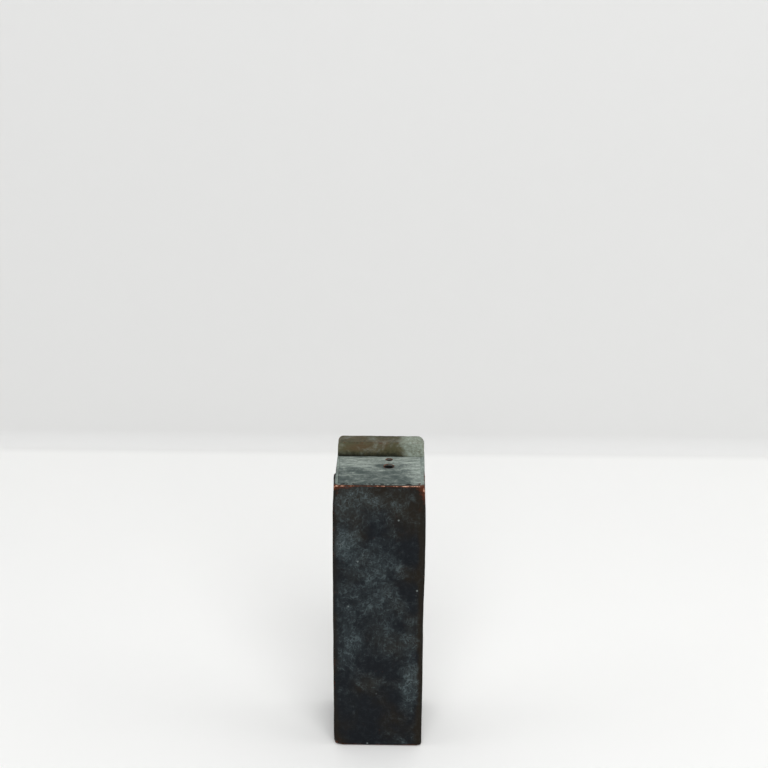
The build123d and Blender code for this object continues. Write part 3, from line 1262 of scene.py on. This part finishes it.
@dataclass
class Slab:
    """A dense closed slab: a flat outline with round holes, given a thickness and rounded edges.

    Attributes:
        outline: The outline's points, anticlockwise, in the slab's own plane, in metres.
        thickness: From its lower face to its upper one.
        edge: Radius of the rounding where a face meets the rim.
        pitch: Spacing of the points on the faces.
        holes: Middle and radius of each round hole.
        edge_steps: How many faces the rounding takes.
        hole_points: How many points go round a hole.
    """

    outline: np.ndarray
    thickness: float
    edge: float
    pitch: float = 0.6 * MM
    holes: tuple[tuple[float, float, float], ...] = ()
    edge_steps: int = 4
    hole_points: int = 48

    @staticmethod
    def inset(loop: np.ndarray, distance: float) -> np.ndarray:
        """A closed loop moved inwards by a distance.

        Args:
            loop: The loop's points, anticlockwise.
            distance: How far inwards.

        Returns:
            The moved points, as many as before.
        """
        ahead = np.roll(loop, -1, 0) - loop
        behind = loop - np.roll(loop, 1, 0)
        ahead /= np.linalg.norm(ahead, axis=1)[:, None]
        behind /= np.linalg.norm(behind, axis=1)[:, None]
        tangent = ahead + behind
        tangent /= np.linalg.norm(tangent, axis=1)[:, None]
        inwards = np.stack([-tangent[:, 1], tangent[:, 0]], 1)
        spread = np.maximum((tangent * ahead).sum(1), 0.5)
        return loop + inwards * (distance / spread)[:, None]

    def loops(self) -> list[np.ndarray]:
        """The slab's loops.

        Returns:
            The outline and then each hole's circle, with the metal on the left of every one.
        """
        circle = [2 * math.pi * step / self.hole_points for step in range(self.hole_points)]
        rounds = [
            np.array([(x + r * math.cos(-a), y + r * math.sin(-a)) for a in circle]) for x, y, r in self.holes
        ]
        return [np.asarray(self.outline, float), *rounds]

    def face_net(self, borders: list[np.ndarray]) -> tuple[np.ndarray, list[tuple[int, ...]]]:
        """Fills one face with points and triangles.

        Args:
            borders: The face's outer and hole borders.

        Returns:
            The points, with the borders' own first and in order, and the triangles, anticlockwise.
        """
        border = np.concatenate(borders)
        low, high = borders[0].min(0), borders[0].max(0)
        columns = np.arange(low[0] + self.pitch / 2, high[0], self.pitch)
        rows = np.arange(low[1] + self.pitch / 2, high[1], self.pitch)
        grid = np.array([(x, y) for x in columns for y in rows])
        nearest = np.full(len(grid), np.inf)
        for point in border:
            nearest = np.minimum(nearest, np.hypot(*(grid - point).T))
        grid = grid[nearest > 0.6 * self.pitch]
        grid = grid[self.inside(grid, borders[0])]
        for x, y, radius in self.holes:
            grid = grid[np.hypot(grid[:, 0] - x, grid[:, 1] - y) > radius + self.edge]
        points = np.concatenate([border, grid])
        edges, start = [], 0
        for loop in borders:
            count = len(loop)
            edges += [(start + i, start + (i + 1) % count) for i in range(count)]
            start += count
        scaled = [Vector(p / MM) for p in points]
        _, _, triangles, sources, _, _ = delaunay_2d_cdt(scaled, edges, [], 0, 1e-6)
        own = [source[0] for source in sources]
        kept = []
        middles = np.array([np.mean([points[own[i]] for i in t], axis=0) for t in triangles])
        metal = self.inside(middles, borders[0])
        for loop in borders[1:]:
            metal &= ~self.inside(middles, loop)
        for triangle, keep in zip(triangles, metal):
            if keep:
                a, b, c = (own[i] for i in triangle)
                (ax, ay), (bx, by), (cx, cy) = points[a], points[b], points[c]
                turn = (bx - ax) * (cy - ay) - (by - ay) * (cx - ax)
                kept.append((a, b, c) if turn > 0 else (a, c, b))
        return points, kept

    @staticmethod
    def inside(points: np.ndarray, loop: np.ndarray) -> np.ndarray:
        """Which points lie inside a closed loop.

        Args:
            points: The points to test.
            loop: The loop's points, in either order.

        Returns:
            True for each point inside.
        """
        found = np.zeros(len(points), bool)
        x, y = points.T
        for (ax, ay), (bx, by) in zip(loop, np.roll(loop, -1, 0)):
            if ay != by:
                crosses = (ay > y) != (by > y)
                found ^= crosses & (x < (bx - ax) * (y - ay) / (by - ay) + ax)
        return found

    def levels(self) -> list[tuple[float, float]]:
        """The rings of a rim, from the lower face to the upper one.

        Returns:
            For each ring, how far inwards it lies and how high.
        """
        angles = [math.radians(90 * step / self.edge_steps) for step in range(1, self.edge_steps + 1)]
        lower = [(self.edge * (1 - math.sin(a)), self.edge * (1 - math.cos(a))) for a in angles]
        upright = self.thickness - 2 * self.edge
        rims = round(upright / self.pitch)
        middle = [(0.0, self.edge + upright * step / rims) for step in range(1, rims)]
        return lower + middle + [(inset, self.thickness - lift) for inset, lift in reversed(lower)]

    def cast(self, place: Matrix) -> Cast:
        """Builds the slab's mesh.

        Args:
            place: From the slab's plane, with its lower face at nought, to the row frame.

        Returns:
            The mesh.
        """
        borders = [self.inset(loop, self.edge) for loop in self.loops()]
        net, triangles = self.face_net(borders)
        count = len(net)
        points = [np.column_stack([net, np.full(count, height)]) for height in (0.0, self.thickness)]
        faces = [(a, c, b) for a, b, c in triangles]
        faces += [(a + count, b + count, c + count) for a, b, c in triangles]
        total, start = 2 * count, 0
        for loop, border in zip(self.loops(), borders):
            size = len(loop)
            rings = [list(range(start, start + size))]
            for inset, height in self.levels():
                ring = self.inset(loop, inset) if inset > 0 else loop
                points.append(np.column_stack([ring, np.full(size, height)]))
                rings.append(list(range(total, total + size)))
                total += size
            rings.append(list(range(count + start, count + start + size)))
            for under, over in zip(rings, rings[1:]):
                for i in range(size):
                    after = (i + 1) % size
                    faces.append((under[i], under[after], over[after], over[i]))
            start += size
        placed = np.array([place @ Vector(p) for p in np.concatenate(points)])
        return Cast(placed, faces)


def rounded_outline(
    width: float,
    height: float,
    radii: tuple[float, float, float, float],
    spacing: float = 0.6 * MM,
    bend_steps: int = 8,
) -> np.ndarray:
    """A rectangle round the origin with rounded corners, as a close row of points.

    Args:
        width: Its width.
        height: Its height.
        radii: Corner radii, from the lower left, anticlockwise.
        spacing: About how far apart the points of a straight stretch lie.
        bend_steps: How many straight bits a corner takes.

    Returns:
        The points, anticlockwise, under a millimetre apart.
    """
    corners = ((-1, -1, 180), (1, -1, 270), (1, 1, 0), (-1, 1, 90))
    bends = []
    for (side_x, side_y, start), radius in zip(corners, radii):
        middle = np.array((side_x * (width / 2 - radius), side_y * (height / 2 - radius)))
        for step in range(bend_steps + 1):
            angle = math.radians(start + 90 * step / bend_steps)
            bends.append(middle + radius * np.array((math.cos(angle), math.sin(angle))))
    points = []
    for here, there in zip(bends, bends[1:] + bends[:1]):
        parts = max(1, round(math.dist(here, there) / spacing))
        points += [here + (there - here) * part / parts for part in range(parts)]
    return np.array(points)


def stood_off(cast: Cast, reliefs: tuple[Relief, ...], share: np.ndarray | float = 1.0) -> None:
    """Moves a mesh's points along its normals by some layers of unevenness.

    Args:
        cast: The mesh, changed in place.
        reliefs: The layers.
        share: How much of them each point takes.
    """
    mesh = bpy.data.meshes.new("scratch")
    mesh.from_pydata([tuple(p) for p in cast.points], [], cast.faces)
    normals = np.empty(len(mesh.vertices) * 3)
    mesh.vertex_normals.foreach_get("vector", normals)
    bpy.data.meshes.remove(mesh)
    lift = sum(relief.at(cast.points) for relief in reliefs) * share
    cast.points = cast.points + normals.reshape(-1, 3) * lift[:, None]


def broken_joint(points: np.ndarray) -> np.ndarray:
    """Where the joint behind the front arris stands open, for the ledge and the front wall alike.

    Args:
        points: Places in metres, one row each.

    Returns:
        A value from nought, where wax fills the joint, to one.
    """
    return smooth_step(Relief(1.0, 3.5 * MM, 3, 41.0).at(points), -0.25, 0.3)


@dataclass
class Ledge:
    """The bronze plate that the exhibit stands on, let in between the walls.

    Attributes:
        corner: Radius of its corners.
        edge: Rounding of its upper and lower edges.
        seam: How much wider than the CAD joint the front joint opens in places.
        snug: How much closer than the CAD joint it fits at the other three sides, where wax fills it.
        seat_wide: Half the width of the patch that the exhibit's foot keeps clean of salts.
        seat_deep: Half its depth.
    """

    corner: float = 0.8 * MM
    edge: float = 0.12 * MM
    seam: float = 0.75 * MM
    snug: float = 0.12 * MM
    seat_wide: float = 17 * MM
    seat_deep: float = 11 * MM

    def bores(self) -> list[tuple[float, float, float]]:
        """Middle and radius of each bore, from the record's mounts."""
        mounts = [m for m in frame["record"]["mounts"] if m["kind"] == "bore"]
        return [(m["pos_m"][0], m["pos_m"][1], m["dims"]["r_mm"] * MM) for m in mounts]

    def cast(self) -> Cast:
        """Builds the ledge's mesh.

        Returns:
            The mesh, with a ragged front edge and an upper face that isn't quite flat.
        """
        low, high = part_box("top_plate")
        wide, deep = high.x - low.x + 2 * self.snug, high.y - low.y + self.snug
        outline = rounded_outline(wide, deep, (self.corner,) * 4) + (0, self.snug / 2)
        ragged = Relief(self.seam, 5 * MM, 3, 21.0)
        edge_places = np.column_stack([outline, np.zeros(len(outline))])
        outline[:, 1] += np.abs(ragged.at(edge_places)) * smooth_step(-outline[:, 1], 0.5 * high.y, high.y)
        slab = Slab(outline, high.z - low.z, self.edge, holes=tuple(self.bores()))
        cast = slab.cast(Matrix.Translation((0, 0, low.z)))
        upper = cast.points[:, 2] > high.z - 2 * self.edge
        reliefs = (Relief(0.10 * MM, 22 * MM, 2, 31.0), Relief(0.05 * MM, 3.0 * MM, 3, 33.0))
        stood_off(cast, reliefs, upper.astype(float))
        return cast

    def pale(self, x: np.ndarray, y: np.ndarray) -> np.ndarray:
        """How thick the pale salts lie: most at the rear and the right, least under the exhibit's foot.

        Args:
            x: Each vertex's place across the front.
            y: Its place from front to back.

        Returns:
            How much paler each one is.
        """
        front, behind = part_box("top_plate")[0].y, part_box("rear_kerb")[0].y
        (stud_x, stud_y, _), (_, dowel_y, _) = self.bores()
        seat_y = (stud_y + dowel_y) / 2
        foot = np.hypot((x - stud_x) / self.seat_wide, (y - seat_y) / self.seat_deep)
        rear = smooth_step(y, front + 20 * MM, behind + 1 * MM)
        pale = 0.02 + 1.35 * rear + 0.85 * smooth_step(x, 14 * MM, 27 * MM)
        pale += 0.30 * smooth_fall(foot - 1.15, 0.28)
        pale -= 0.22 * smooth_fall(y - front, 13 * MM) * smooth_step(x, 8 * MM, 20 * MM)
        return pale - 0.45 * smooth_fall(foot, 0.75)

    def build(self) -> None:
        """Builds and dresses the ledge."""
        low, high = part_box("top_plate")
        cast = self.cast()
        x, y, z = cast.points.T
        to_kerb = np.maximum(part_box("rear_kerb")[0].y - y, 0)
        front_joint = smooth_fall(y - low.y, 0.7 * MM)
        left_joint = smooth_fall(x - low.x, 0.5 * MM) * (y < -10 * MM)
        joints = 0.80 * front_joint * broken_joint(cast.points) + 0.45 * left_joint
        dirt = np.maximum(joints, strongest((0.28, to_kerb, 0.8 * MM), (0.20, high.y - y, 1 * MM)))
        dirt = np.where(z < high.z - 0.9 * MM, 0.8, dirt)
        worn = 0.50 * smooth_fall(np.hypot(high.x - x, y - low.y), 3.0 * MM)
        for hole_x, hole_y, radius in self.bores():
            rim = np.hypot(x - hole_x, y - hole_y) - radius
            dirt = np.maximum(dirt, 0.35 * smooth_fall(rim, 0.9 * MM))
            worn = np.maximum(worn, 0.52 * smooth_fall(np.hypot(rim, z - high.z), 0.6 * MM))
        cast.piece(
            "ledge",
            LEDGE_BRONZE,
            "bronze_ledge",
            "top_plate",
            worn=worn,
            pale=self.pale(x, y),
            dirt=dirt,
            warm=0.25 * front_joint,
            crest=np.zeros(len(x)),
        )


@dataclass
class Kerb:
    """The bronze bar across the rear of the ledge.

    Attributes:
        left_shoulder: Radius of its upper left corner.
        right_shoulder: Radius of its upper right corner, which is rubbed rounder.
        foot: Radius of its two lower corners.
        edge: Rounding of its front and back arrises.
    """

    left_shoulder: float = 3.6 * MM
    right_shoulder: float = 4.8 * MM
    foot: float = 0.5 * MM
    edge: float = 0.9 * MM

    def build(self) -> None:
        """Builds and dresses the bar."""
        low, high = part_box("rear_kerb")
        size = high - low
        radii = (self.foot + self.edge, self.foot + self.edge, self.right_shoulder, self.left_shoulder)
        outline = rounded_outline(size.x, size.z, radii)
        slab = Slab(outline, size.y, self.edge, pitch=0.5 * MM)
        middle = (low + high) / 2
        # The slab's plane is stood up, so its thickness runs from the back to the front.
        stand = Matrix.Translation((middle.x, high.y, middle.z)) @ Matrix.Rotation(math.radians(90), 4, "X")
        cast = slab.cast(stand)
        clear = smooth_step(cast.points[:, 2], low.z, low.z + 1 * MM)
        reliefs = (
            Relief(0.22 * MM, 26 * MM, 2, 51.0),
            Relief(0.09 * MM, 5 * MM, 3, 53.0),
            Relief(0.03 * MM, 1.6 * MM, 2, 55.0),
        )
        stood_off(cast, reliefs, clear)

        x, y, z = cast.points.T
        up, down = z - low.z, high.z - z
        on_top = smooth_step(-down, -1.6 * MM, -0.4 * MM)
        right_end = smooth_step(x, 10 * MM, 24 * MM)
        # Darker towards the foot, over about 6 mm: painted shade where the bar stands on the ledge. Dirt on
        # its top. Both fade at the right end.
        dirt = 0.16 * smooth_fall(up, 2.5 * MM) + 0.46 * smooth_fall(up, 6.0 * MM)
        dirt = np.maximum(dirt, 0.36 * on_top) * (1 - 0.9 * right_end)
        pale = 1.45 * right_end + 0.10 * smooth_step(up, 4 * MM, 8 * MM)
        back_arris, front_arris = np.hypot(high.y - y, down), np.hypot(y - low.y, down)
        end_arris = np.minimum(high.x - x, x - low.x)
        worn = strongest(
            (0.34, back_arris, 1.2 * MM),
            (0.30, front_arris, 1.0 * MM),
            (0.26, np.hypot(end_arris, down - 1 * MM), 1.6 * MM),
        )
        brown = smooth_fall(np.hypot((x - low.x - 13 * MM) / (7 * MM), (up - 7 * MM) / (4 * MM)), 1.0)
        cast.piece(
            "kerb",
            KERB_BRONZE,
            "bronze_kerb",
            "rear_kerb",
            worn=worn,
            pale=pale,
            dirt=dirt,
            warm=0.6 * brown,
            crest=np.zeros(len(x)),
        )


@dataclass
class FeltPad:
    """The felt glued underneath, cut with shears, its edge squashed out a little by the weight.

    Attributes:
        corner: Radius of its corners.
        edge: Rounding of its cut edge.
    """

    corner: float = 1.2 * MM
    edge: float = 0.6 * MM

    def build(self) -> None:
        """Builds and dresses the pad."""
        low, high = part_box("felt_pad")
        outline = rounded_outline(high.x - low.x, high.y - low.y, (self.corner,) * 4)
        slab = Slab(outline, high.z - low.z, self.edge, pitch=0.7 * MM)
        cast = slab.cast(Matrix.Identity(4))
        reliefs = (Relief(0.06 * MM, 1.3 * MM, 2, 61.0), Relief(0.08 * MM, 9 * MM, 2, 63.0))
        stood_off(cast, reliefs)
        cast.points[:, 2] = np.clip(cast.points[:, 2], low.z, high.z)
        cast.piece("felt", WoolFelt(), "felt", "felt_pad")


@dataclass
class Works:
    """What is hidden in the column: each CAD node keeps its mesh and gets its real finish.

    Attributes:
        finishes: The record's material slot to the finish of the nodes that are in it.
    """

    finishes: dict[str, Finish] = field(
        default_factory=lambda: {
            "brass_bar": DRAWN_BRASS,
            "mild_steel": ROLLED_STEEL,
            "turned_steel": TURNED_STEEL,
            "zinc_screw": ZINC_PLATE,
            "rubber_sheet": SheetRubber(),
        }
    )

    def build(self) -> None:
        """Dresses every node whose slot is one of the hidden ones."""
        for subpart in frame["record"]["subparts"]:
            finish = self.finishes.get(subpart["material_slot"])
            if finish:
                node = frame["nodes"][subpart["node"]]
                for slot in node.material_slots:
                    slot.material = finish.material()
                LOG.info("%s: %s", node.name, finish.title)


# ---- the studio ------------------------------------------------------------------------------------------


@dataclass
class Sweep:
    """Seamless white paper: a floor that curves up into a wall behind the plinth.

    Attributes:
        wide: Its width.
        before: How far it comes forward of the plinth.
        behind: Where it starts to rise.
        bend: Radius of the rise.
        tall: Height of the wall.
        floor_steps: How many faces the floor takes from front to back.
        rise_steps: How many the rise takes.
        wall_steps: How many the wall takes from bottom to top.
        steps_across: How many each of them takes from side to side.
    """

    wide: float = 4.0
    before: float = 1.6
    behind: float = 0.485
    bend: float = 0.015
    tall: float = 1.6
    floor_steps: int = 12
    rise_steps: int = 16
    wall_steps: int = 6
    steps_across: int = 12

    def build(self) -> None:
        """Builds the sweep as one curved sheet."""
        floor, rise, wall, across = self.floor_steps, self.rise_steps, self.wall_steps, self.steps_across
        line = [(-self.before + step * (self.before + self.behind) / floor, 0.0) for step in range(floor + 1)]
        for step in range(1, rise + 1):
            angle = math.radians(90 * step / rise)
            line.append((self.behind + self.bend * math.sin(angle), self.bend * (1 - math.cos(angle))))
        back = self.behind + self.bend
        line += [(back, self.bend + step * self.tall / wall) for step in range(1, wall + 1)]
        sheet = bmesh.new()
        columns = [self.wide * (step / across - 0.5) for step in range(across + 1)]
        grid = [[sheet.verts.new((x, y, z)) for x in columns] for y, z in line]
        for near, far in zip(grid, grid[1:]):
            for i in range(across):
                sheet.faces.new((near[i], near[i + 1], far[i + 1], far[i])).smooth = True
        mesh = bpy.data.meshes.new("sweep")
        sheet.to_mesh(mesh)
        sheet.free()
        mesh.materials.append(StudioPaper().material())
        made = bpy.data.objects.new("sweep", mesh)
        bpy.context.scene.collection.objects.link(made)
        made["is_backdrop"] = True


@dataclass(frozen=True)
class Softbox:
    """One soft lamp, aimed at the middle of the plinth.

    Attributes:
        name: Its name.
        place: Where it stands.
        side: Its width and height.
        watts: Its power.
    """

    name: str
    place: tuple[float, float, float]
    side: float
    watts: float

    def build(self, target: Vector) -> None:
        """Hangs the lamp.

        Args:
            target: What it is aimed at.
        """
        lamp = bpy.data.lights.new(self.name, "AREA")
        lamp.size = self.side
        lamp.energy = self.watts
        made = bpy.data.objects.new(self.name, lamp)
        made.location = self.place
        made.rotation_euler = (target - Vector(self.place)).to_track_quat("-Z", "Y").to_euler()
        bpy.context.scene.collection.objects.link(made)


@dataclass
class Studio:
    """Floor, lamps, sky and camera.

    Attributes:
        lamps: The soft lamps.
        sky: The even light from all round, sRGB.
        sky_strength: How strong it is.
        eye: The camera's place in the row frame.
        lens_mm: Its focal length on a 36 mm sensor.
        pitch: How far it looks down, in degrees.
        yaw: How far it looks to the left, in degrees.
        roll: How far the hand that held it leaned, in degrees.
    """

    lamps: tuple[Softbox, ...] = (
        Softbox("overhead", (0.2, -0.2, 1.5), 1.6, 3.0),
        Softbox("front_bank", (0.22, -2.0, 1.8), 2.0, 52.5),
        Softbox("left_fill", (-1.7, -0.2, 1.2), 1.2, 6.5),
        Softbox("right_fill", (1.7, -0.1, 1.2), 1.2, 7.5),
    )
    sky: str = "#e8e9ec"
    sky_strength: float = 0.25
    eye: tuple[float, float, float] = (0.01371, -1.00944, 0.6340)
    lens_mm: float = 77.88
    pitch: float = 20.628
    yaw: float = 0.640
    roll: float = 0.37

    def build(self) -> None:
        """Builds the studio."""
        scene = bpy.context.scene
        low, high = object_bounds()
        Sweep().build()
        for lamp in self.lamps:
            lamp.build((low + high) / 2)
        world = bpy.data.worlds.new("soft_light")
        world.use_nodes = True
        background = world.node_tree.nodes["Background"]
        background.inputs["Color"].default_value = linear(self.sky)
        background.inputs["Strength"].default_value = self.sky_strength
        scene.world = world
        scene.view_settings.view_transform = "Standard"

        camera = bpy.data.cameras.new("camera")
        camera.lens = self.lens_mm
        camera.clip_start = 0.01
        made = bpy.data.objects.new("camera", camera)
        aim = (
            Matrix.Rotation(math.radians(self.yaw), 4, "Z")
            @ Matrix.Rotation(math.radians(90 - self.pitch), 4, "X")
            @ Matrix.Rotation(math.radians(self.roll), 4, "Z")
        )
        made.matrix_world = Matrix.Translation(self.eye) @ aim
        scene.collection.objects.link(made)
        scene.camera = made


def main() -> None:
    """Builds the plinth's pieces in order, then the studio."""
    logging.basicConfig(level=logging.INFO, format="%(name)s: %(message)s")
    column = Column.from_frame()
    for side in Side:
        Wall(column, side).build()
    Ledge().build()
    Kerb().build()
    FeltPad().build()
    Works().build()
    Studio().build()


if __name__ == "__main__":
    main()
